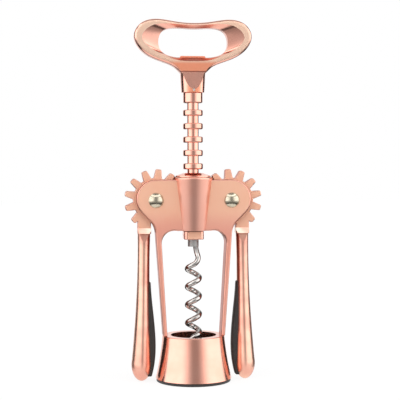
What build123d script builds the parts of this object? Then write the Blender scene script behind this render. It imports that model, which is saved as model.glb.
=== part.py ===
"""Wing corkscrew: a toothed lever on each side lifts a ringed rack sleeve, and the
worm's rod turns inside that sleeve under a cap-lifter handle.
Millimetres, +Z up, front at -Y, origin at the middle of the foot ring's underside.
"""
import os
from math import cos, hypot, pi, radians, sin, sqrt

from build123d import *

# Fits
seat_clearance = 0.02
running_clearance = 0.06
slide_clearance = 0.1
axial_clearance = 0.1
stop_gap = 0.2
overrun = 2.0

# Bell and liner
socket_radius = 15.0
liner_wall = 0.5
bell_wall = 0.88
bell_flare = 3.6
bell_flare_start = 0.5
bell_top = 24.2
bell_web = 3.0
bell_edge_round = 0.5
throat_ledge = 3.0
lip_height = 1.7
lip_inset = 0.4

# Frame: heights are measured from the pivot line
pivot_height = 95.3
plate_half = 5.2
edge_round = 0.7
boss_radius = 10.2
boss_rise = 0.6
boss_end_angle = -45.0
web_drop = 16.0
arch_height = 6.9
arch_half_width = 8.8
leg_foot_gap = 2.2
leg_foot_width = 2.0
leg_top_width = 2.6
leg_shoulder_round = 10.3
leg_splay = 2.8
tenon_width = 1.0
tenon_depth = 5.0
barrel_proud = 1.5
barrel_wall = 1.14
barrel_taper = 3.0
barrel_bore_relief = 0.46
barrel_round = 1.2

# Rack and gears
ring_pitch = 7.0
ring_radius = 5.24
ring_gap = 3.8
ring_round = 0.7
rings_below = 2
ring_count = 9
rack_end = 1.747
sleeve_wall = 0.99
rod_radius = 1.95
gear_teeth = 13
mesh_angle = 1.0
mesh_gap = 0.6
tooth_outside = 1.817
tooth_inside = 2.733
tooth_root_half = 2.1
tooth_tip_half = 1.4
tooth_round = 0.9
gear_round = 0.35
first_tooth = -1
last_tooth = 8
slot_clearance = 0.5

# Bushes, washers and rivets
bush_wall = 1.2
top_flange_inset = 1.3
top_flange_edge = 0.5
top_flange_rise = 1.9
top_spigot_height = 2.1
lower_bush_height = 4.6
washer_thickness = 0.4
washer_radius = 4.6
rivet_radius = 2.2
rivet_head_radius = 4.0
rivet_head_height = 1.9
rivet_tail_radius = 3.6
rivet_tail_height = 1.4

# Levers: the top of the arm hangs on the pivot, the rest stands clear of the bell's foot
gear_half = 2.5
shoulder_drop = 14.5
arm_root = 2.2
facet_edge_drop = 2.9
facet_edge_step = 0.3
facet_band_step = 1.6
shoulder_round = 1.5
facet_tip_drop = 9.8
waist_share = 0.634
flare_share = 0.4
arm_bottom = 0.4
arm_end_length = 8.6
arm_top_offset = 2.5
arm_top_width = 7.0
lever_gap = 2.2
arm_waist_step = 0.9
arm_waist_width = 6.6
arm_flare_step = 0.3
arm_end_width = 10.6
arm_flare_slim = 1.4
arm_top_half = 4.3
arm_waist_half = 3.6
arm_flare_half = 4.6
arm_end_half = 4.9

# Grips
grip_depth = 2.8
grip_bulge_step = 2.0
grip_bulge_share = 0.304
grip_swell_step = 0.7
grip_swell_share = 0.72
grip_top_step = 0.5
grip_end_gap = 2.4
grip_top_half = 1.6
grip_wide_half = 2.6
grip_bottom_half = 1.8
grip_round = 0.9

# Spindle
collar_half = 5.2
collar_corner = 1.8
collar_height = 4.4
collar_round = 0.4
collar_pin_radius = 0.6
thrust_thickness = 0.5
thrust_radius = 4.4
hub_height = 5.4
hub_radius = 5.1
hub_round = 0.5

# Handle: heights are measured from the hub's top, and the loop's half outlines run down
# from its top edge as shares of the half width
handle_half = 4.2
handle_half_width = 30.9
handle_round = 1.9
loop_shares = [0, 0.324, 0.644, 0.89, 1, 0.893, 0.495]
loop_heights = [36.2, 37.0, 38.1, 35.7, 29.9, 22.2, 15.7]
loop_root = [(9.7, 13.1), (6.3, 10.0), (2.5, 7.2)]
dish_shares = [0, 0.388, 0.754, 0.867, 0.728, 0.421, 0]
dish_heights = [35.1, 35.5, 33.5, 28.9, 22.9, 18.2, 16.1]
hole_shares = [0, 0.324, 0.524, 0.592, 0.531, 0.324, 0]
hole_heights = [33.3, 33.6, 31.7, 26.5, 21.0, 18.4, 18.2]
dish_depth = 1.9
neck_bottom_radius = 6.05
neck_flare = 0.55
neck_height = 9.8
neck_dome_height = 7.0
neck_facet_rise = 1.7
neck_facet_step = 1.0
neck_band_step = 0.4
neck_facet_edge_rise = 11.1
neck_band_drop = 0.3
rod_reach = 13.3
tab_half_width = 6.7
tab_height = 1.0
tab_round = 0.7
tab_depth = 2.6
tab_root = 2.0
handle_pin_radius = 0.7
handle_pin_rise = 1.2
handle_pin_inset = 0.3

# Worm
shank_step = 0.9
shank_length = 3.8
wire_radius = 1.4
worm_radius = 3.2
worm_pitch = 9.55
worm_drop = 10.6
worm_lead = 92.0
worm_end = 1532.0
worm_point_length = 3.4
worm_point_radius = 0.2
worm_offset = 1.2
quarter_turn = 90.0

# Radii worked out from the driving sizes, from the rod outwards
liner_radius = socket_radius + liner_wall
bell_top_radius = liner_radius + seat_clearance + bell_wall
foot_radius = bell_top_radius + bell_flare
throat_radius = socket_radius - throat_ledge
rack_bore_radius = rod_radius + running_clearance
core_radius = rack_bore_radius + sleeve_wall
shank_radius = rod_radius + shank_step
bush_radius = ring_radius + slide_clearance
bush_seat_radius = bush_radius + bush_wall
barrel_bore_radius = bush_radius + barrel_bore_relief
barrel_foot_radius = bush_seat_radius + seat_clearance + barrel_wall
barrel_top_radius = barrel_foot_radius + barrel_taper
top_flange_radius = barrel_top_radius - top_flange_inset
neck_top_radius = neck_bottom_radius + neck_flare
lever_bore_radius = rivet_radius + running_clearance
pitch_radius = ring_pitch * gear_teeth / (2 * pi)
tip_radius = pitch_radius + tooth_outside
root_radius = pitch_radius - tooth_inside
slot_radius = tip_radius + slot_clearance

# Places across the opener
pivot_x = core_radius + mesh_gap + tip_radius
slot_half = gear_half + axial_clearance + washer_thickness
leg_foot_inner = throat_radius + leg_foot_gap
leg_foot_outer = leg_foot_inner + leg_foot_width
leg_top_inner = leg_foot_inner + leg_splay
leg_top_outer = leg_top_inner + leg_top_width
tenon_x = (leg_foot_inner + leg_foot_outer) / 2
arm_top_inner = pivot_x + arm_top_offset
arm_top_outer = arm_top_inner + arm_top_width
arm_end_inner = foot_radius + lever_gap
arm_end_outer = arm_end_inner + arm_end_width
arm_waist_inner = arm_end_inner + arm_waist_step
arm_flare_inner = arm_end_inner + arm_flare_step
arm_flare_width = arm_end_width - arm_flare_slim
grip_seat = arm_end_inner + grip_depth
grip_bulge = arm_end_inner - grip_bulge_step
grip_swell = arm_end_inner - grip_swell_step
grip_top_inner = arm_waist_inner - grip_top_step
facet_edge_half = gear_half + facet_edge_step
facet_band_half = gear_half + facet_band_step
neck_facet_half = handle_half - neck_facet_step
neck_band_half = handle_half - neck_band_step

# Heights
boss_height = pivot_height + boss_rise
head_top = boss_height + boss_radius
barrel_top = head_top + barrel_proud
web_bottom = pivot_height - web_drop
leg_top_height = web_bottom - arch_height
leg_line_share = (pivot_height - bell_top) / (leg_top_height - bell_top)
leg_line_outer = leg_foot_outer + (leg_top_outer - leg_foot_outer) * leg_line_share
shoulder_height = pivot_height - shoulder_drop
arm_top = shoulder_height + arm_root
facet_edge_height = shoulder_height - facet_edge_drop
facet_tip_height = shoulder_height - facet_tip_drop
arm_waist_height = arm_top * waist_share
arm_flare_height = arm_waist_height * flare_share
arm_end_height = arm_bottom + arm_end_length
grip_swell_height = arm_waist_height * grip_swell_share
grip_bulge_height = arm_waist_height * grip_bulge_share
grip_bottom = arm_bottom + grip_end_gap
collar_top = web_bottom - stop_gap
collar_bottom = collar_top - collar_height
worm_right_height = collar_bottom - worm_drop
rack_bottom = collar_top + thrust_thickness + axial_clearance
tooth_step = 360 / gear_teeth
ring_thickness = ring_pitch - ring_gap
mesh_height = pivot_height + pitch_radius * radians(mesh_angle)
hub_bottom = mesh_height + (ring_count - rings_below) * ring_pitch + rack_end
hub_top = hub_bottom + hub_height
neck_top = hub_top + neck_height
neck_crown = neck_top + neck_dome_height
neck_facet_tip = hub_top + neck_facet_rise
neck_facet_edge = hub_top + neck_facet_edge_rise
neck_band_top = neck_crown - neck_band_drop
rod_top = hub_top + rod_reach
handle_pin_height = hub_top + handle_pin_rise
tab_foot = hub_top + hole_heights[-1] - tab_root
loop_plane = Plane(origin=(0, 0, hub_top), x_dir=(1, 0, 0), z_dir=(0, -1, 0))


def widened(shares, heights):
    """Points of a half outline whose widths are shares of the handle's half width."""
    return [(share * handle_half_width, rise) for share, rise in zip(shares, heights)]


def mirrored_loop(points, plane):
    """A closed face from a half outline whose two ends lie on the middle line."""
    with BuildSketch(plane) as loop:
        with BuildLine():
            Spline(*points, tangents=[(1, 0), (-1, 0)])
            mirror(about=Plane.YZ)
        make_face()
    return loop.sketch


def facet_sketch(points):
    """Front and back notch outlines, drawn on the side plane, for slanted facets."""
    with BuildSketch(Plane.YZ) as notch:
        with BuildLine():
            Polyline(*points, close=True)
        make_face()
        mirror(about=Plane.YZ)
    return notch.sketch


# Frame: head plates, barrel and legs in one casting
with BuildPart() as frame:
    with BuildSketch(Plane.XZ) as outline:
        with BuildLine():
            top_edge = Line((0, head_top), (pivot_x, head_top))
            boss = CenterArc((pivot_x, boss_height), boss_radius, 90, boss_end_angle - 90)
            leg_line = Line((leg_foot_outer, bell_top), (leg_line_outer, pivot_height), mode=Mode.PRIVATE)
            flank = IntersectingLine(boss @ 1, boss % 1, leg_line)
            outer_leg = Line(flank @ 1, (leg_foot_outer, bell_top))
            foot = Line(outer_leg @ 1, (leg_foot_inner, bell_top))
            inner_leg = Line(foot @ 1, (leg_top_inner, leg_top_height))
            arch = TangentArc(inner_leg @ 1, (arch_half_width, web_bottom), tangent=inner_leg % 1)
            Line(arch @ 1, (0, web_bottom))
            mirror(about=Plane.YZ)
        make_face()
        corner = flank @ 1
        shoulders = [outline.vertices().sort_by_distance((side * corner.X, corner.Y))[0] for side in (-1, 1)]
        fillet(shoulders, leg_shoulder_round)
    extrude(amount=plate_half, both=True)
    fillet(frame.faces().filter_by(Axis.Y).edges(), edge_round)
    # Tapered barrel that bulges out of both plates
    with BuildSketch(Plane.XZ):
        with BuildLine():
            Polyline(
                (0, web_bottom), (barrel_foot_radius, web_bottom),
                (barrel_top_radius, barrel_top), (0, barrel_top), close=True,
            )
        make_face()
    revolve(axis=Axis.Z)
    fillet(frame.faces().sort_by(Axis.Z)[-1].edges(), barrel_round)
    # Gear slots, which open into the barrel's bore
    with BuildSketch(Plane.XZ):
        with Locations((pivot_x, pivot_height), (-pivot_x, pivot_height)):
            Circle(slot_radius)
    extrude(amount=slot_half, both=True, mode=Mode.SUBTRACT)
    with BuildSketch(Plane.XZ):
        with Locations((pivot_x, pivot_height), (-pivot_x, pivot_height)):
            Circle(rivet_radius + seat_clearance)
    extrude(amount=plate_half + overrun, both=True, mode=Mode.SUBTRACT)
    with BuildSketch(Plane.XY.offset(web_bottom - overrun)):
        Circle(barrel_bore_radius)
    extrude(amount=barrel_top - web_bottom + 2 * overrun, mode=Mode.SUBTRACT)
    # Seats of the two bushes
    with BuildSketch(Plane.XY.offset(barrel_top - top_spigot_height)):
        Circle(bush_seat_radius + seat_clearance)
    extrude(amount=top_spigot_height + overrun, mode=Mode.SUBTRACT)
    with BuildSketch(Plane.XY.offset(web_bottom - overrun)):
        Circle(bush_seat_radius + seat_clearance)
    extrude(amount=lower_bush_height + overrun, mode=Mode.SUBTRACT)
    # Tenons that hold the bell
    with BuildSketch(Plane.XY.offset(bell_top)):
        with Locations((tenon_x, 0), (-tenon_x, 0)):
            Rectangle(tenon_width, tenon_depth)
    extrude(amount=-bell_web)
frame.part.label = "frame"

# Bell: concave flare with a flat top that has the cork's throat and two tenon slots
with BuildPart() as bell:
    with BuildSketch(Plane.XZ):
        with BuildLine():
            flare_tangent = (bell_flare * bell_flare_start, lip_height - bell_top)
            flare = TangentArc((bell_top_radius, bell_top), (foot_radius, lip_height), tangent=flare_tangent)
            Polyline(
                flare @ 1, (liner_radius + seat_clearance, lip_height),
                (liner_radius + seat_clearance, bell_top - bell_web),
                (throat_radius, bell_top - bell_web), (throat_radius, bell_top), flare @ 0,
            )
        make_face()
    revolve(axis=Axis.Z)
    top_rim = bell.edges().filter_by(GeomType.CIRCLE).group_by(Axis.Z)[-1].sort_by(SortBy.RADIUS)[-1]
    fillet(top_rim, bell_edge_round)
    with BuildSketch(Plane.XY.offset(bell_top + overrun)):
        with Locations((tenon_x, 0), (-tenon_x, 0)):
            Rectangle(tenon_width + 2 * seat_clearance, tenon_depth + 2 * seat_clearance)
    extrude(amount=-bell_web - 2 * overrun, mode=Mode.SUBTRACT)
bell.part.label = "bell"

# Liner: thin sleeve inside the bell with the foot ring below it
with BuildPart() as bell_liner:
    with BuildSketch(Plane.XZ):
        with BuildLine():
            Polyline(
                (socket_radius, 0), (foot_radius - lip_inset, 0), (foot_radius - lip_inset, lip_height),
                (liner_radius, lip_height), (liner_radius, bell_top - bell_web),
                (socket_radius, bell_top - bell_web), close=True,
            )
        make_face()
    revolve(axis=Axis.Z)
    fillet(bell_liner.edges().filter_by(GeomType.CIRCLE).sort_by(SortBy.RADIUS)[-2:], lip_inset)
bell_liner.part.label = "bell_liner"

# Bushes that guide the rack rings; the upper one has a shallow cone flange with room for the gears
with BuildPart() as top_bush:
    with BuildSketch(Plane.XZ):
        with BuildLine():
            Polyline(
                (bush_radius, barrel_top - top_spigot_height),
                (bush_seat_radius, barrel_top - top_spigot_height),
                (bush_seat_radius, barrel_top), (top_flange_radius, barrel_top),
                (top_flange_radius, barrel_top + top_flange_edge),
                (bush_radius, barrel_top + top_flange_rise),
                close=True,
            )
        make_face()
    revolve(axis=Axis.Z)
    with BuildSketch(Plane.XZ):
        with Locations((pivot_x, pivot_height), (-pivot_x, pivot_height)):
            Circle(slot_radius)
    extrude(amount=slot_half, both=True, mode=Mode.SUBTRACT)
top_bush.part.label = "top_bush"

with BuildPart() as lower_bush:
    with BuildSketch(Plane.XY.offset(web_bottom)):
        Circle(bush_seat_radius)
        Circle(bush_radius, mode=Mode.SUBTRACT)
    extrude(amount=lower_bush_height)
lower_bush.part.label = "lower_bush"

# Pivot rivet: domed head in front, lower dome behind
with BuildPart() as left_rivet:
    with BuildSketch(Plane.XY.offset(pivot_height)):
        with BuildLine():
            head = TangentArc(
                (-pivot_x, -plate_half - rivet_head_height),
                (-pivot_x + rivet_head_radius, -plate_half), tangent=(1, 0),
            )
            tail = TangentArc(
                (-pivot_x, plate_half + rivet_tail_height),
                (-pivot_x + rivet_tail_radius, plate_half), tangent=(1, 0),
            )
            Polyline(
                head @ 1, (-pivot_x + rivet_radius, -plate_half),
                (-pivot_x + rivet_radius, plate_half), tail @ 1,
            )
            Line(head @ 0, tail @ 0)
        make_face()
    revolve(axis=Axis((-pivot_x, 0, pivot_height), (0, 1, 0)))
left_rivet.part.label = "left_rivet"

with BuildPart() as right_rivet:
    mirror(left_rivet.part, about=Plane.YZ)
right_rivet.part.label = "right_rivet"

# Four washers, two beside each gear
with BuildPart() as pivot_washers:
    for front_face in (slot_half, washer_thickness - slot_half):
        with BuildSketch(Plane.XZ.offset(front_face)):
            with Locations((pivot_x, pivot_height), (-pivot_x, pivot_height)):
                Circle(washer_radius)
                Circle(lever_bore_radius, mode=Mode.SUBTRACT)
        extrude(amount=-washer_thickness)
pivot_washers.part.label = "pivot_washers"

# Soft pad let into the arm's inner side
with BuildPart() as left_grip:
    with BuildSketch(Plane.XZ):
        with BuildLine():
            bulge = Spline(
                (-grip_top_inner, arm_waist_height), (-grip_swell, grip_swell_height),
                (-grip_bulge, grip_bulge_height), (-arm_end_inner, grip_bottom),
            )
            Polyline(bulge @ 1, (-grip_seat, grip_bottom), (-grip_seat, arm_waist_height), bulge @ 0)
        make_face()
    extrude(amount=grip_wide_half, both=True)
    with BuildSketch(Plane.YZ):
        with BuildLine():
            side = Spline(
                (grip_top_half, arm_waist_height), (grip_wide_half, grip_bulge_height),
                (grip_bottom_half, grip_bottom),
            )
            Polyline(side @ 0, (0, arm_waist_height), (0, grip_bottom), side @ 1)
        make_face()
        mirror(about=Plane.YZ)
    extrude(amount=-arm_end_outer - overrun, mode=Mode.INTERSECT)
    bulge_face = left_grip.faces().sort_by(Axis.X)[-1]
    fillet(bulge_face.edges(), grip_round)
left_grip.part.label = "left_grip"

with BuildPart() as right_grip:
    mirror(left_grip.part, about=Plane.YZ)
right_grip.part.label = "right_grip"

# Lever: gear plate, then a round arm that flares to a rounded end
arm_sections = [
    (arm_top, arm_top_inner, arm_top_width, arm_top_half),
    (arm_waist_height, arm_waist_inner, arm_waist_width, arm_waist_half),
    (arm_flare_height, arm_flare_inner, arm_flare_width, arm_flare_half),
    (arm_end_height, arm_end_inner, arm_end_width, arm_end_half),
]
arm_end_reach = arm_end_width / 2
arm_end_middle = arm_end_inner + arm_end_reach
end_ball = scale(
    Sphere(arm_end_reach, mode=Mode.PRIVATE),
    by=(1, arm_end_half / arm_end_reach, (arm_end_height - arm_bottom) / arm_end_reach), mode=Mode.PRIVATE,
)

lever_facets = facet_sketch([
    (gear_half, arm_top + overrun), (gear_half, shoulder_height), (facet_band_half, facet_edge_height),
    (facet_edge_half, facet_edge_height), (arm_top_half, facet_tip_height),
    (arm_end_half, facet_tip_height), (arm_end_half, arm_top + overrun),
])

with BuildPart() as gear_plate:
    with BuildSketch(Plane(origin=(-pivot_x, 0, pivot_height), x_dir=(1, 0, 0), z_dir=(0, -1, 0))) as gear:
        Circle(root_radius)
        for tooth in range(first_tooth, last_tooth + 1):
            with Locations(Rotation(0, 0, mesh_angle + tooth * tooth_step)):
                Polygon(
                    (0, -tooth_root_half), (root_radius, -tooth_root_half), (tip_radius, -tooth_tip_half),
                    (tip_radius, tooth_tip_half), (root_radius, tooth_root_half), (0, tooth_root_half),
                    align=None,
                )
        tips = gear.vertices().filter_by(lambda v: hypot(v.X, v.Y) > tip_radius - tooth_round)
        fillet(tips, tooth_round)
        with BuildLine():
            Polyline(
                (pivot_x - arm_top_inner, 0), (pivot_x - arm_top_inner, facet_edge_height - pivot_height),
                (pivot_x - arm_top_outer, facet_edge_height - pivot_height), (pivot_x - arm_top_outer, 0),
                close=True,
            )
        make_face()
        Circle(lever_bore_radius, mode=Mode.SUBTRACT)
    extrude(amount=gear_half, both=True)
    fillet(gear_plate.faces().filter_by(Axis.Y).edges(), gear_round)

with BuildPart() as left_lever:
    for height, inner, width, half in arm_sections:
        with BuildSketch(Plane.XY.offset(height)):
            with Locations((-inner - width / 2, 0)):
                Ellipse(width / 2, half)
    loft()
    with Locations((-arm_end_middle, 0, arm_end_height)):
        add(end_ball)
    # Shoulder block under the gear, with a slanted top and a recessed facet below it
    with BuildSketch(Plane.XY.offset(facet_edge_height)):
        with Locations((-arm_top_inner - arm_top_width / 2, 0)):
            RectangleRounded(arm_top_width, 2 * facet_band_half, shoulder_round)
    extrude(amount=shoulder_height - facet_edge_height)
    extrude(lever_facets, amount=-arm_end_outer - overrun, mode=Mode.SUBTRACT)
    add(gear_plate.part)
    add(left_grip.part, mode=Mode.SUBTRACT)
left_lever.part.label = "left_lever"

with BuildPart() as right_lever:
    mirror(left_lever.part, about=Plane.YZ)
right_lever.part.label = "right_lever"

# Rack sleeve: a tube with round rings that the gears push on
with BuildPart() as rack_sleeve:
    with BuildSketch(Plane.XY.offset(rack_bottom)):
        Circle(core_radius)
    extrude(amount=hub_bottom - rack_bottom)
    for ring in range(ring_count):
        ring_middle = mesh_height + (ring - rings_below + 1 / 2) * ring_pitch
        with BuildSketch(Plane.XY.offset(ring_middle - ring_thickness / 2)):
            Circle(ring_radius)
        extrude(amount=ring_thickness)
    rims = rack_sleeve.edges().filter_by(GeomType.CIRCLE)
    fillet(rims.filter_by(lambda rim: rim.radius > core_radius + ring_round), ring_round)
    with BuildSketch(Plane.XY.offset(rack_bottom - overrun)):
        Circle(rack_bore_radius)
    extrude(amount=hub_bottom - rack_bottom + 2 * overrun, mode=Mode.SUBTRACT)
rack_sleeve.part.label = "rack_sleeve"

# Thrust washers at both ends of the rack sleeve
with BuildPart() as upper_washer:
    with BuildSketch(Plane.XY.offset(hub_bottom + axial_clearance)):
        Circle(thrust_radius)
        Circle(rod_radius + seat_clearance, mode=Mode.SUBTRACT)
    extrude(amount=thrust_thickness)
upper_washer.part.label = "upper_washer"

with BuildPart() as lower_washer:
    with BuildSketch(Plane.XY.offset(collar_top)):
        Circle(thrust_radius)
        Circle(rod_radius + seat_clearance, mode=Mode.SUBTRACT)
    extrude(amount=thrust_thickness)
lower_washer.part.label = "lower_washer"

# Hub under the handle, recessed for the upper washer
with BuildPart() as handle_hub:
    with BuildSketch(Plane.XY.offset(hub_bottom)):
        Circle(hub_radius)
    extrude(amount=hub_height)
    fillet(handle_hub.edges().filter_by(GeomType.CIRCLE), hub_round)
    with BuildSketch(Plane.XY.offset(hub_bottom - overrun)):
        Circle(thrust_radius + seat_clearance)
    extrude(amount=overrun + axial_clearance + thrust_thickness, mode=Mode.SUBTRACT)
    with BuildSketch(Plane.XY.offset(hub_bottom)):
        Circle(rod_radius + seat_clearance)
    extrude(amount=hub_height + overrun, mode=Mode.SUBTRACT)
handle_hub.part.label = "handle_hub"

# Square collar with rounded corners that stops the spindle's rise against the barrel
with BuildPart() as stop_collar:
    with BuildSketch(Plane.XY.offset(collar_bottom)):
        RectangleRounded(2 * collar_half, 2 * collar_half, collar_corner)
    extrude(amount=collar_height)
    fillet(stop_collar.faces().filter_by(Axis.Z).edges(), collar_round)
    with BuildSketch(Plane.XY.offset(collar_bottom - overrun)):
        Circle(rod_radius + seat_clearance)
    extrude(amount=collar_height + 2 * overrun, mode=Mode.SUBTRACT)
    with BuildSketch(Plane.YZ):
        with Locations((0, collar_bottom + collar_height / 2)):
            Circle(collar_pin_radius + seat_clearance)
    extrude(amount=collar_half + overrun, both=True, mode=Mode.SUBTRACT)
stop_collar.part.label = "stop_collar"

with BuildPart() as collar_pin:
    with BuildSketch(Plane.YZ):
        with Locations((0, collar_bottom + collar_height / 2)):
            Circle(collar_pin_radius)
    extrude(amount=collar_half - collar_pin_radius, both=True)
collar_pin.part.label = "collar_pin"

# Handle: dished loop on a round neck with slanted facets
neck_facets = facet_sketch([
    (neck_bottom_radius, neck_facet_tip), (neck_facet_half, neck_facet_edge),
    (neck_band_half, neck_facet_edge), (handle_half, neck_band_top),
    (handle_half, neck_crown), (neck_top_radius + overrun, neck_crown),
    (neck_top_radius + overrun, neck_facet_tip),
])

with BuildPart() as opener_handle:
    with BuildSketch(loop_plane):
        with BuildLine():
            loop_edge = Spline(*widened(loop_shares, loop_heights), *loop_root, tangents=[(1, 0), (-1, -1)])
            Line(loop_edge @ 1, (0, (loop_edge @ 1).Y))
            mirror(about=Plane.YZ)
        make_face()
    extrude(amount=handle_half, both=True)
    loop_faces = opener_handle.faces().filter_by(Axis.Y)
    fillet(loop_faces.edges().filter_by(GeomType.LINE, reverse=True), handle_round)
    with BuildSketch(Plane.XZ):
        with BuildLine():
            neck_side = Line((neck_bottom_radius, hub_top), (neck_top_radius, neck_top))
            neck_dome = TangentArc(neck_side @ 1, (0, neck_crown), tangent=neck_side % 1)
            Polyline(neck_dome @ 1, (0, hub_top), neck_side @ 0)
        make_face()
    revolve(axis=Axis.Z)
    extrude(neck_facets, amount=handle_half_width, both=True, mode=Mode.SUBTRACT)
    # Dished faces that slope into the through hole, then the hole and its lifting tab
    dish_edge = widened(dish_shares, dish_heights)
    hole_edge = widened(hole_shares, hole_heights)
    for side in (-1, 1):
        loft(
            [
                mirrored_loop(dish_edge, loop_plane.offset(side * handle_half)),
                mirrored_loop(hole_edge, loop_plane.offset(side * (handle_half - dish_depth))),
            ],
            ruled=True, mode=Mode.SUBTRACT,
        )
    extrude(mirrored_loop(hole_edge, loop_plane), amount=handle_half, both=True, mode=Mode.SUBTRACT)
    with BuildSketch(Plane.XY.offset(tab_foot)):
        with Locations((0, tab_depth / 2)):
            Rectangle(2 * tab_half_width, tab_depth)
    tab = extrude(amount=tab_root + tab_height)
    fillet(tab.edges().filter_by(Axis.Y).group_by(Axis.Z)[-1], tab_round)
    # Bores of the rod and its cross pin
    with BuildSketch(Plane.XY.offset(hub_top - overrun)):
        Circle(rod_radius + seat_clearance)
    extrude(amount=rod_top - hub_top + overrun, mode=Mode.SUBTRACT)
    with BuildSketch(Plane.XZ):
        with Locations((0, handle_pin_height)):
            Circle(handle_pin_radius + seat_clearance)
    extrude(amount=neck_top_radius + overrun, both=True, mode=Mode.SUBTRACT)
opener_handle.part.label = "opener_handle"

with BuildPart() as handle_pin:
    with BuildSketch(Plane.XZ):
        with Locations((0, handle_pin_height)):
            Circle(handle_pin_radius)
    extrude(amount=neck_bottom_radius - handle_pin_inset, both=True)
handle_pin.part.label = "handle_pin"


def helix_point(angle):
    """Point of the right-hand worm, at an angle in degrees turned downward from its right side."""
    turned = radians(angle)
    drop = worm_pitch * angle / 360
    return Vector(worm_radius * cos(turned), -worm_radius * sin(turned), worm_right_height - drop)


def helix_tangent(angle):
    """Downward direction of the worm's wire at the same angle."""
    turned = radians(angle)
    slope = worm_pitch / (2 * pi)
    return Vector(-worm_radius * sin(turned), -worm_radius * cos(turned), -slope).normalized()


def biarc_middle(start, start_dir, end, end_dir):
    """Joint of the two tangent arcs that run from start to end."""
    chord = end - start
    along = chord.dot(start_dir + end_dir)
    bend = 2 * (1 - start_dir.dot(end_dir))
    reach = (sqrt(along * along + bend * chord.dot(chord)) - along) / bend
    return (start + start_dir * reach + end - end_dir * reach) * (1 / 2)


# Worm: rod up to the handle, thicker shank, then the wire wound right-handed to a point
worm_start = Vector(worm_offset, 0, collar_bottom - shank_length / 2)
worm_down = Vector(0, 0, -1)
turn_count = round((worm_end - worm_lead) / quarter_turn)
stations = [(worm_start, worm_down)]
for station in range(turn_count + 1):
    station_angle = worm_lead + (worm_end - worm_lead) * station / turn_count
    stations.append((helix_point(station_angle), helix_tangent(station_angle)))

with BuildPart() as worm:
    with BuildSketch(Plane.XY.offset(collar_bottom - shank_length)):
        Circle(shank_radius)
    extrude(amount=shank_length)
    with BuildSketch(Plane.XY.offset(collar_bottom)):
        Circle(rod_radius)
    extrude(amount=rod_top - axial_clearance - collar_bottom)
    with BuildSketch(Plane.YZ):
        with Locations((0, collar_bottom + collar_height / 2)):
            Circle(collar_pin_radius + seat_clearance)
    extrude(amount=rod_radius + overrun, both=True, mode=Mode.SUBTRACT)
    with BuildSketch(Plane.XZ):
        with Locations((0, handle_pin_height)):
            Circle(handle_pin_radius + seat_clearance)
    extrude(amount=rod_radius + overrun, both=True, mode=Mode.SUBTRACT)
    with BuildLine() as wire_path:
        for (start, start_dir), (end, end_dir) in zip(stations, stations[1:]):
            middle = biarc_middle(start, start_dir, end, end_dir)
            first_arc = TangentArc(start, middle, tangent=start_dir)
            TangentArc(middle, end, tangent=first_arc % 1)
    with BuildSketch(Plane(origin=worm_start, z_dir=worm_down)):
        Circle(wire_radius)
    sweep(path=wire_path.wires()[0])
    with Locations(Plane(origin=stations[-1][0], z_dir=stations[-1][1])):
        Cone(
            wire_radius, worm_point_radius, worm_point_length,
            align=(Align.CENTER, Align.CENTER, Align.MIN),
        )
worm.part.label = "worm"

os.makedirs("parts", exist_ok=True)
for piece in (
    frame, bell, bell_liner, top_bush, lower_bush, left_rivet, right_rivet, pivot_washers,
    left_lever, right_lever, left_grip, right_grip, rack_sleeve, upper_washer, lower_washer,
    handle_hub, stop_collar, collar_pin, opener_handle, handle_pin, worm,
):
    export_step(piece.part, f"parts/{piece.part.label}.step")
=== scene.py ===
"""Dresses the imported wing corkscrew: a procedural finish for every node, a camera and a studio."""
import math

import bpy
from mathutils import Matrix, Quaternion, Vector


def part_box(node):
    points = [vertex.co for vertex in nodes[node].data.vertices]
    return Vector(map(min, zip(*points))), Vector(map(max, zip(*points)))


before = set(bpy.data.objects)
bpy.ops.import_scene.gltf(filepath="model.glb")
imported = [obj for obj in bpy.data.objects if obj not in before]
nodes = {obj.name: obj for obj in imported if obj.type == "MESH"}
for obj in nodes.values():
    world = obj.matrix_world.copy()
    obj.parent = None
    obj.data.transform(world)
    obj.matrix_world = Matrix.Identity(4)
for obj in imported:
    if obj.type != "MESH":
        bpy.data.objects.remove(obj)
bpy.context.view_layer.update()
MM = 0.001


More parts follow.
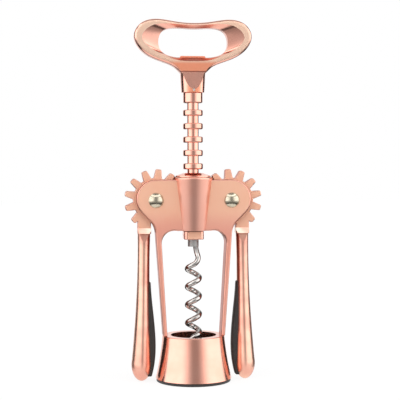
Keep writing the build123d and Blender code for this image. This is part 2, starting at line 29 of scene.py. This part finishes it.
class Val:
    """A socket in a node tree, with the operators that the finishes use."""

    def __init__(self, tree, socket=None):
        self.tree = tree
        self.socket = socket

    def node(self, kind, settings=None, out=0, **inputs):
        """Any node: its type, its settings, then values or links of its sockets, i0 being the first."""
        made = self.tree.nodes.new(kind)
        for key, value in (settings or {}).items():
            setattr(made, key, value)
        for key, value in inputs.items():
            index = int(key[1:]) if key[0] == "i" and key[1:].isdigit() else key.replace("_", " ")
            self.give(made.inputs[index], value)
        return Val(self.tree, made.outputs[out] if made.outputs else None)

    def give(self, target, value):
        """Links a Val to a socket, or sets a plain value on it."""
        if isinstance(value, Val):
            self.tree.links.new(value.socket, target)
        else:
            target.default_value = value

    def math(self, operation, *values):
        """A sum of one kind on these values."""
        sockets = {f"i{place}": value for place, value in enumerate(values)}
        return self.node("ShaderNodeMath", {"operation": operation}, **sockets)

    def __add__(self, other):
        return self.math("ADD", self, other)

    def __mul__(self, other):
        return self.math("MULTIPLY", self, other)

    def __sub__(self, other):
        return self.math("SUBTRACT", self, other)

    def __rsub__(self, other):
        return self.math("SUBTRACT", other, self)

    def __abs__(self):
        return self.math("ABSOLUTE", self)

    __radd__ = __add__
    __rmul__ = __mul__

    def above(self, low, high):
        """0 below low and 1 above high, smooth between them."""
        return self.node("ShaderNodeMapRange", {"interpolation_type": "SMOOTHSTEP", "clamp": True},
                         Value=self, From_Min=low, From_Max=high, To_Min=0.0, To_Max=1.0)

    def between(self, low, high, soft):
        """1 from low to high and 0 outside them, with soft ends."""
        return self.above(low - soft, low) * (1 - self.above(high, high + soft))

    def mix(self, first, second):
        """Mixes two colours by this value. Inputs 6 and 7 and output 2 are the node's colours."""
        return self.node("ShaderNodeMix", {"data_type": "RGBA"}, out=2, i0=self, i6=first, i7=second)

    def axis(self, place):
        """One part of a vector: 0 across, 1 deep, 2 up."""
        return self.node("ShaderNodeSeparateXYZ", out=place, i0=self)

    def facing(self):
        """The way a face looks."""
        return self.node("ShaderNodeTexCoord", out="Normal")

    def noise(self, scale, detail, stretch=(1, 1, 1)):
        """Noise of about scale waves a metre, squeezed by the stretch."""
        spot = self.node("ShaderNodeMapping", i0=self, Scale=stretch)
        return self.node("ShaderNodeTexNoise", Vector=spot, Scale=scale, Detail=detail)

    def bump(self, strength):
        """A normal that follows this value as a fine grain."""
        return self.node("ShaderNodeBump", Height=self, Strength=strength, Distance=GRAIN_DEPTH)


def linear(red, green, blue):
    """A colour given as 8-bit screen values, as the linear colour a socket wants."""
    def channel(value):
        value /= 255
        return value / 12.92 if value <= 0.04045 else ((value + 0.055) / 1.055) ** 2.4
    return (channel(red), channel(green), channel(blue), 1)


# Tones of the plating, with painted shade for the legs and cut edges and painted highlights for the
# shoulder and rim, and of the bare steel
ROSE = linear(247, 184, 165)
ROSE_DEEP = linear(243, 176, 156)
ROSE_SATIN = linear(255, 223, 202)
# Painted shade: the deeper tone that the frame's legs take
ROSE_LEG_SHADE = linear(248, 202, 186)
# Painted highlight: the cream of the handle loop's rim
ROSE_RIM_HIGHLIGHT = linear(255, 220, 197)
ROSE_BAND = linear(255, 176, 142)
ROSE_WARM = linear(255, 202, 178)
# Painted highlight: the pale cream of the levers' slanted shoulder
ROSE_SHOULDER_HIGHLIGHT = linear(255, 232, 214)
# Painted shade: a dark line along the cut edges of the plates and the tooth flanks
ROSE_EDGE_SHADE = linear(196, 112, 92)
STEEL = linear(208, 204, 200)
STEEL_STAIN = linear(176, 168, 163)
STEEL_DULL = linear(186, 184, 182)

# Grain: scales are waves a metre, ranges are the noise values that a fade runs between
GRAIN_DEPTH = 0.2 * MM
NOISE_MIDDLE = 0.5
TINT_SCALE = 90.0
TINT_DETAIL = 2.0
TINT_RANGE = 0.35, 0.7
TINT_ROUGHNESS = 0.04
BRUSH_SCALE = 900.0
BRUSH_DETAIL = 4.0
BRUSH_STRETCH = (1.0, 1.0, 0.08)
BRUSH_ROUGHNESS = 0.05
BRUSH_STRENGTH = 0.03
SPECK_DETAIL = 3.0
SPECK_RANGE = 0.4, 0.7
WIRE_SCALE = 700.0
WIRE_DETAIL = 4.0
WIRE_STRETCH = (1.0, 1.0, 3.0)
WIRE_STRENGTH = 0.08
STAIN_SCALE = 140.0
STAIN_DETAIL = 3.0
STAIN_RANGE = 0.45, 0.75

# Roughness of the finishes
SATIN_ROUGHNESS = 0.9
RIM_ROUGHNESS = 0.6
WIRE_ROUGHNESS = 0.08
WIRE_ROUGHNESS_STEP = 0.1
SHANK_ROUGHNESS_STEP = 0.45

# How squarely a face has to look forward or back to be flat, forward, a rim or a cut edge
FLAT_FACING = 0.995, 0.999
FORWARD_FACING = 0.993, 0.998
RIM_FACING = 0.72, 0.95
EDGE_FACING = 0.45, 0.85

# Places that the finishes follow, all in the part's own frame. A pair is a soft edge, and three numbers
# are a band with the softness of its ends
PLATE_HALF = 5.2 * MM
GEAR_HALF = 2.5 * MM
FACE_REACH = 0.03 * MM, 0.12 * MM
BARREL_SIDE = 9.4 * MM, 9.9 * MM
LEG_SHADE_FADE = 78 * MM, 92 * MM
SHANK_FADE = 66 * MM, 70 * MM
SHOULDER_HIGHLIGHT_BAND = 78.0 * MM, 80.6 * MM, 0.3 * MM
TEETH_FADE = 80.6 * MM, 81.0 * MM
ARM_MIDDLE = 27.6 * MM
ARM_LEAN = 0.0215
RIDGE_FADE = 30 * MM, 78 * MM
RIDGE_RADIUS = 0.6 * MM
RIDGE_SLOPE = 0.17
RIDGE_TILT = 0.05
HANDLE_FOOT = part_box("opener_handle")[0][2]
RIM_RISE = HANDLE_FOOT + 14.6 * MM, HANDLE_FOOT + 16.6 * MM
RIM_DEPTH = 2.8 * MM, 3.4 * MM
LOOP_MIDDLE = HANDLE_FOOT + 28 * MM
OUTWARD = -3 * MM, -1 * MM


def new_material(name):
    """A material, and the place on the surface that its finish starts from."""
    material = bpy.data.materials.new(name)
    material.use_nodes = True
    here = Val(material.node_tree).node("ShaderNodeTexCoord", out="Object")
    return material, here


def finish_with(material, here, **sockets):
    """Feeds the material's own shader."""
    shader = material.node_tree.nodes["Principled BSDF"]
    for key, value in sockets.items():
        here.give(shader.inputs[key.replace("_", " ")], value)
    return material


def painted(here, tone):
    """A tone is a colour or a function of the place."""
    return tone(here) if callable(tone) else tone


def rose_gold(name, smooth, tone=ROSE, satin=None, satin_tone=ROSE_SATIN,
              satin_roughness=SATIN_ROUGHNESS, edge=None, relief=None):
    """Polished rose-gold plate, satin on the masked faces, with painted shade in a deeper tone on the
    masked edges.
    """
    material, here = new_material(name)
    tint = here.noise(TINT_SCALE, TINT_DETAIL).above(*TINT_RANGE)
    grain = here.noise(BRUSH_SCALE, BRUSH_DETAIL, BRUSH_STRETCH)
    colour = tint.mix(painted(here, tone), ROSE_DEEP)
    rough = smooth + BRUSH_ROUGHNESS * (grain - NOISE_MIDDLE) + TINT_ROUGHNESS * tint
    if satin is not None:
        flat = satin(here)
        colour = flat.mix(colour, painted(here, satin_tone))
        rough = rough + flat * (satin_roughness - smooth)
    # Painted shade: the masked edges take the darker edge colour
    if edge is not None:
        colour = edge(here).mix(colour, ROSE_EDGE_SHADE)
    normal = grain.bump(BRUSH_STRENGTH)
    if relief is not None:
        normal = here.node("ShaderNodeBump", Height=relief(here), Strength=1.0, Distance=1.0,
                           Normal=normal)
    return finish_with(material, here, Base_Color=colour, Metallic=1.0, Roughness=rough, Normal=normal)


def speckled(name, first, second, scale, rough, rough_step, strength, metallic=0.0):
    """A plain finish of two near tones with a fine grain."""
    material, here = new_material(name)
    grain = here.noise(scale, SPECK_DETAIL)
    colour = grain.above(*SPECK_RANGE).mix(first, second)
    return finish_with(material, here, Base_Color=colour, Metallic=metallic,
                       Roughness=rough + rough_step * grain, Normal=grain.bump(strength))


def steel(name):
    """Drawn wire, bright and faintly stained, with a duller shank above it."""
    material, here = new_material(name)
    grain = here.noise(WIRE_SCALE, WIRE_DETAIL, WIRE_STRETCH)
    stain = here.noise(STAIN_SCALE, STAIN_DETAIL).above(*STAIN_RANGE)
    shank = here.axis(2).above(*SHANK_FADE)
    colour = shank.mix(stain.mix(STEEL, STEEL_STAIN), STEEL_DULL)
    rough = WIRE_ROUGHNESS + WIRE_ROUGHNESS_STEP * grain + shank * SHANK_ROUGHNESS_STEP
    return finish_with(material, here, Base_Color=colour, Metallic=1.0, Roughness=rough,
                       Normal=grain.bump(WIRE_STRENGTH))


def plate_faces(half):
    """Mask of the flat front and back faces of a plate, half being its half thickness."""
    def mask(here):
        flat = abs(here.facing().axis(1)).above(*FLAT_FACING)
        return flat * (1 - abs(abs(here.axis(1)) - half).above(*FACE_REACH))
    return mask


def side_walls(here):
    """How far a face turns from the front and back, as the cut edges of a plate do."""
    return 1 - abs(here.facing().axis(1)).above(*EDGE_FACING)


def plate_edge_shade(here):
    """Mask of the frame's cut edges outside the barrel, where a deeper tone is painted as shade."""
    return side_walls(here) * abs(here.axis(0)).above(*BARREL_SIDE)


def plate_tone_with_leg_shade(here):
    """Painted shade: deeper down the legs than on the head plates."""
    return here.axis(2).above(*LEG_SHADE_FADE).mix(ROSE_LEG_SHADE, ROSE_SATIN)


def gear_edge_shade(here):
    """Mask of the tooth flanks above the shoulder, where a deeper tone is painted as shade."""
    return side_walls(here) * here.axis(2).above(*TEETH_FADE)


def arm_tone_with_shoulder_highlight(here):
    """A pale painted highlight on the slanted shoulder under the gear, warm on the arm."""
    return here.axis(2).between(*SHOULDER_HIGHLIGHT_BAND).mix(ROSE_WARM, ROSE_SHOULDER_HIGHLIGHT)


def arm_ridge(here):
    """Height in metres of the soft ridge down the middle of an arm, which fades towards its top."""
    height = here.axis(2)
    aside = abs(here.axis(0)) - (ARM_MIDDLE - height * ARM_LEAN)
    soft = here.math("SQRT", aside * aside + RIDGE_RADIUS ** 2)
    return (soft * RIDGE_SLOPE + aside * RIDGE_TILT) * (height.above(*RIDGE_FADE) - 1)


def rim_tone_with_highlight(here):
    """A pale painted highlight on the loop's rim, deeper on the band above the neck."""
    rim = here.axis(2).above(*RIM_RISE) * abs(here.axis(1)).above(*RIM_DEPTH)
    return rim.mix(ROSE_BAND, ROSE_RIM_HIGHLIGHT)


def rim_faces(here):
    """Mask of the handle's rim and its outer rounding, which the dished faces inside it lack."""
    looks = here.facing()
    outward = looks.axis(0) * here.axis(0) + looks.axis(2) * (here.axis(2) - LOOP_MIDDLE)
    return outward.above(*OUTWARD) * abs(looks.axis(1)).above(*RIM_FACING)


def forward_faces(here):
    """Mask of the faces that look straight forward or back."""
    return abs(here.facing().axis(1)).above(*FORWARD_FACING)


def dress(material, *names):
    """Gives nodes their only material."""
    for name in names:
        slots = nodes[name].data.materials
        slots.clear()
        slots.append(material)


dress(rose_gold("rose_gold_frame", smooth=0.3, satin=plate_faces(PLATE_HALF), satin_tone=plate_tone_with_leg_shade,
                edge=plate_edge_shade),
      "frame")
dress(rose_gold("rose_gold_lever", smooth=0.3, tone=arm_tone_with_shoulder_highlight, satin=plate_faces(GEAR_HALF),
                edge=gear_edge_shade, relief=arm_ridge),
      "left_lever", "right_lever")
dress(rose_gold("rose_gold_handle", smooth=0.18, satin=rim_faces, satin_tone=rim_tone_with_highlight,
                satin_roughness=RIM_ROUGHNESS),
      "opener_handle")
dress(rose_gold("rose_gold_turned", smooth=0.15), "bell", "rack_sleeve", "handle_hub", "top_bush")
dress(rose_gold("rose_gold_collar", smooth=0.2, satin=forward_faces), "stop_collar")
dress(steel("worm_steel"), "worm", "upper_washer", "lower_washer", "pivot_washers", "lower_bush")
dress(speckled("pin_steel", linear(244, 238, 232), linear(226, 218, 210), scale=2400.0,
               rough=0.5, rough_step=0.1, strength=0.06, metallic=1.0),
      "collar_pin", "handle_pin")
dress(speckled("rivet_nickel", linear(212, 202, 180), linear(194, 184, 164), scale=1500.0,
               rough=0.16, rough_step=0.08, strength=0.08, metallic=1.0),
      "left_rivet", "right_rivet")
dress(speckled("liner_plastic", linear(40, 36, 35), linear(54, 49, 47), scale=2600.0,
               rough=0.42, rough_step=0.12, strength=0.2),
      "bell_liner")
dress(speckled("grip_rubber", linear(44, 40, 38), linear(60, 55, 52), scale=3200.0,
               rough=0.55, rough_step=0.15, strength=0.25),
      "left_grip", "right_grip")

# Camera: nearly level, a little left of the middle, about 590 mm away
CAMERA_DISTANCE = 0.59
CAMERA_HEIGHT = 0.112
CAMERA_YAW = math.radians(-6.5)
CAMERA_ROLL = math.radians(0.14)
SENSOR_WIDTH = 36.0
PHOTO_PIXELS = 400
PIXELS_PER_METRE = 1900
AXIS_COLUMN = 193.1
FOOT_ROW = 381.1
lens = bpy.data.cameras.new("camera")
camera = bpy.data.objects.new("camera", lens)
scene = bpy.context.scene
scene.collection.objects.link(camera)
camera.location = (math.sin(CAMERA_YAW) * CAMERA_DISTANCE, -math.cos(CAMERA_YAW) * CAMERA_DISTANCE,
                   CAMERA_HEIGHT)
aside = (PHOTO_PIXELS / 2 - AXIS_COLUMN) / PIXELS_PER_METRE
aim = Vector((math.cos(CAMERA_YAW) * aside, math.sin(CAMERA_YAW) * aside,
              (FOOT_ROW - PHOTO_PIXELS / 2) / PIXELS_PER_METRE))
view = (aim - camera.location).to_track_quat("-Z", "Y") @ Quaternion((0, 0, 1), -CAMERA_ROLL)
camera.rotation_euler = view.to_euler()
lens.sensor_width = SENSOR_WIDTH
lens.lens = SENSOR_WIDTH * CAMERA_DISTANCE * PIXELS_PER_METRE / PHOTO_PIXELS
scene.camera = camera

# Studio: white to the camera, and to the metal a ring of soft panels with darker gaps. Angles are
# degrees round from the front (turn) and up from the level (rise). A pair is a soft edge, and three
# numbers are a band with the softness of its ends
PANEL_LEVEL = 1.86
TOP_LEVEL = 2.2
LOW_LEVEL = 1.1
GAP_LEVEL = 0.06
DIM_LEVEL = 0.4
FLAG_LEVEL = 0.05
BACKDROP_LEVEL = 1.0
FRONT_END = 102.0, 110.0
PANEL_START = 5.0, 50.0
PANEL_FOOT = -17.0, -3.0
PANEL_HEAD = 32.0, 42.0
TOP_PANEL = 48.0, 58.0, 6.0
OVERHEAD = 50.0, 60.0
GAP = -41.0, -30.0, 4.0
LOW_HEAD = -46.0, -42.0
BACKDROP_START = 142.0, 152.0
BACKDROP_FOOT = -14.0, -10.0
scene.view_settings.view_transform = "Standard"
world = bpy.data.worlds.new("studio")
scene.world = world
world.use_nodes = True
world.node_tree.nodes.clear()
sky = Val(world.node_tree).node("ShaderNodeTexCoord", out="Generated")
turn = abs(sky.math("ARCTAN2", sky.axis(0), 0 - sky.axis(1))) * math.degrees(1)
rise = sky.math("ARCSINE", sky.axis(2)) * math.degrees(1)
front = 1 - turn.above(*FRONT_END)
panels = front * rise.above(*PANEL_FOOT) * (1 - rise.above(*PANEL_HEAD)) * turn.above(*PANEL_START)
top_panel = front * rise.between(*TOP_PANEL)
below = 1 - rise.above(*LOW_HEAD)
gap = front * rise.between(*GAP)
not_overhead = 1 - rise.above(*OVERHEAD)
flags = (1 - front) * not_overhead * (1 - below)
backdrop = turn.above(*BACKDROP_START) * rise.above(*BACKDROP_FOOT) * not_overhead
level = DIM_LEVEL + panels * (PANEL_LEVEL - DIM_LEVEL) + top_panel * (TOP_LEVEL - DIM_LEVEL)
level = level + below * (LOW_LEVEL - DIM_LEVEL) + flags * (FLAG_LEVEL - DIM_LEVEL)
level = level + backdrop * (BACKDROP_LEVEL - FLAG_LEVEL) + gap * (GAP_LEVEL - DIM_LEVEL)
seen = sky.node("ShaderNodeLightPath", out="Is Camera Ray")
glow = sky.node("ShaderNodeBackground", Color=(1, 1, 1, 1), Strength=level * (1 - seen) + seen)
sky.node("ShaderNodeOutputWorld", Surface=glow)

# Floor: pale, keeps a faint shadow, and the metal sees it only near the opener's foot
FLOOR_SIZE = 6.0
FLOOR_COLOUR = (0.9, 0.9, 0.9, 1)
FLOOR_GLOW = 1.05
GLOW_SHARE = 0.85
CARD_FADE = 0.05, 0.06
bpy.ops.object.select_all(action="DESELECT")
bpy.ops.mesh.primitive_plane_add(size=FLOOR_SIZE, location=(0, 0, 0))
floor = bpy.context.object
floor.name = "floor"
floor_material = bpy.data.materials.new("floor")
floor_material.use_nodes = True
floor_material.node_tree.nodes.clear()
spot = Val(floor_material.node_tree).node("ShaderNodeTexCoord", out="Object")
to_camera = spot.node("ShaderNodeLightPath", out="Is Camera Ray")
to_metal = spot.node("ShaderNodeLightPath", out="Is Glossy Ray")
paper = spot.node("ShaderNodeBsdfDiffuse", Color=FLOOR_COLOUR)
shine = spot.node("ShaderNodeEmission", Strength=FLOOR_GLOW)
clear = spot.node("ShaderNodeBsdfTransparent")
card = spot.node("ShaderNodeMixShader", i0=(to_camera + to_metal) * GLOW_SHARE, i1=paper, i2=shine)
away = spot.node("ShaderNodeVectorMath", {"operation": "LENGTH"}, out=1, i0=spot)
whole = spot.node("ShaderNodeMixShader", i0=to_metal * away.above(*CARD_FADE), i1=card, i2=clear)
spot.node("ShaderNodeOutputMaterial", Surface=whole)
floor.data.materials.append(floor_material)
